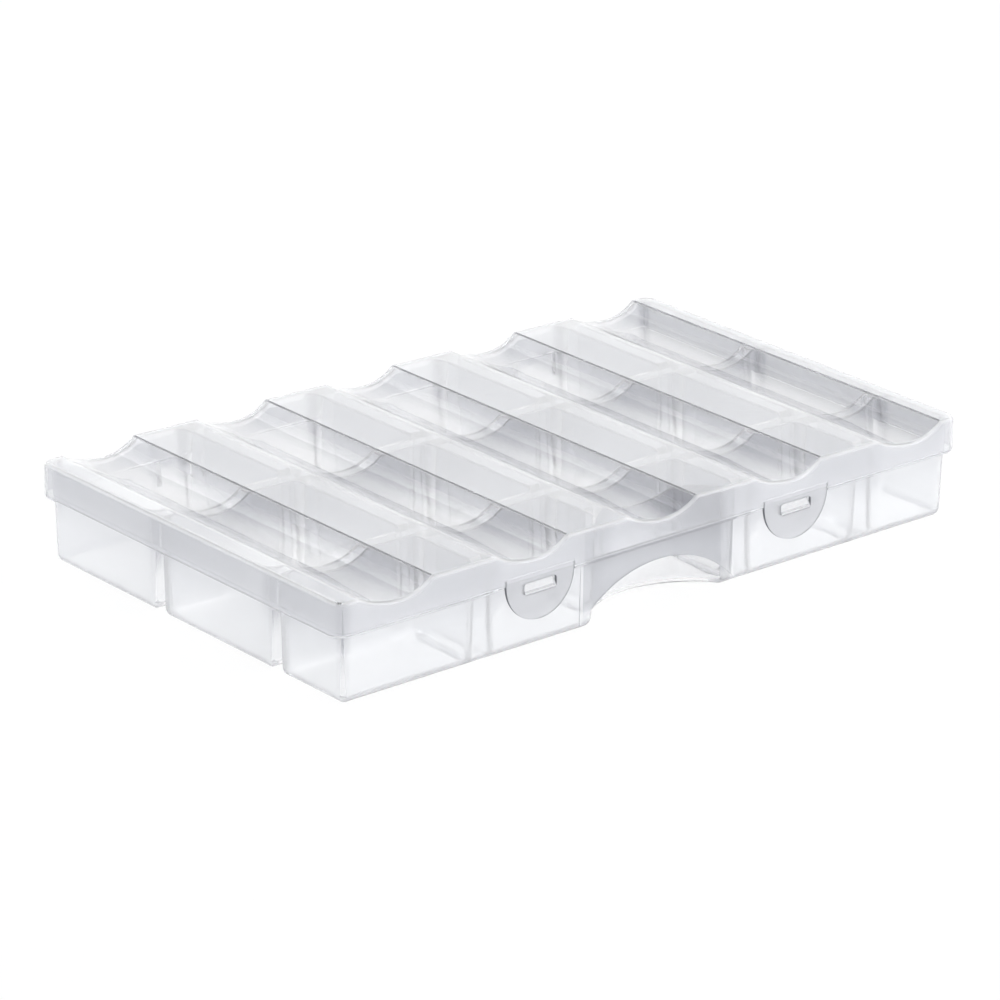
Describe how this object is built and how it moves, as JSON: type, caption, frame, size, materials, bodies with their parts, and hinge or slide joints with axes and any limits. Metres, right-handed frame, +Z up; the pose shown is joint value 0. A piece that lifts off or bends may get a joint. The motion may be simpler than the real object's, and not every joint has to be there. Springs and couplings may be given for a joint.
{
  "type": "compartment storage box",
  "caption": "Flat lidded storage box of clear plastic: fixed compartments in rows, a hinged lid with a scooped wavy top, snap latch tabs and a front hand-hold.",
  "frame": {"origin": "middle of the underside that the box rests on", "axes": "+X along the box from the left end to the right, +Y from the latches to the hinges, +Z up"},
  "size_m": [0.378, 0.2336, 0.051],
  "materials": {
    "base_plastic": "milky clear, glossy",
    "lid_plastic": "clear, glossy"
  },
  "bodies": {
    "base": {"front_trough": "base_plastic", "middle_trough": "base_plastic", "rear_trough": "base_plastic", "front_row_divider": "base_plastic", "rear_row_divider": "base_plastic", "front_divider_1": "base_plastic", "front_divider_2": "base_plastic", "front_divider_3": "base_plastic", "front_divider_4": "base_plastic", "middle_divider_1": "base_plastic", "middle_divider_2": "base_plastic", "middle_divider_3": "base_plastic", "middle_divider_4": "base_plastic", "rear_divider_1": "base_plastic", "rear_divider_2": "base_plastic", "rear_divider_3": "base_plastic", "rear_divider_4": "base_plastic", "rim_ledge": "base_plastic", "hand_hold_panel": "base_plastic", "left_catch": "base_plastic", "right_catch": "base_plastic", "left_hinge_lug": "base_plastic", "right_hinge_lug": "base_plastic"},
    "lid": {"lid_panel": "lid_plastic", "lid_skirt": "lid_plastic", "left_hinge_hook": "lid_plastic", "right_hinge_hook": "lid_plastic"},
    "left_tab": {"left_tab": "lid_plastic"},
    "right_tab": {"right_tab": "lid_plastic"}
  },
  "joints": [
    {"name": "lid_hinge", "type": "hinge", "parent": "base", "child": "lid", "pos_m": [0, 0.117, 0.0298], "axis": [-1, 0, 0], "range_deg": [0, 180]},
    {"name": "left_tab_flex", "type": "hinge", "parent": "lid", "child": "left_tab", "pos_m": [-0.0735, -0.113, 0.0379], "axis": [-1, 0, 0], "range_deg": [0, 25], "stiffness_Nm_per_rad": 0.2},
    {"name": "right_tab_flex", "type": "hinge", "parent": "lid", "child": "right_tab", "pos_m": [0.0825, -0.113, 0.0379], "axis": [-1, 0, 0], "range_deg": [0, 25], "stiffness_Nm_per_rad": 0.2}
  ]
}
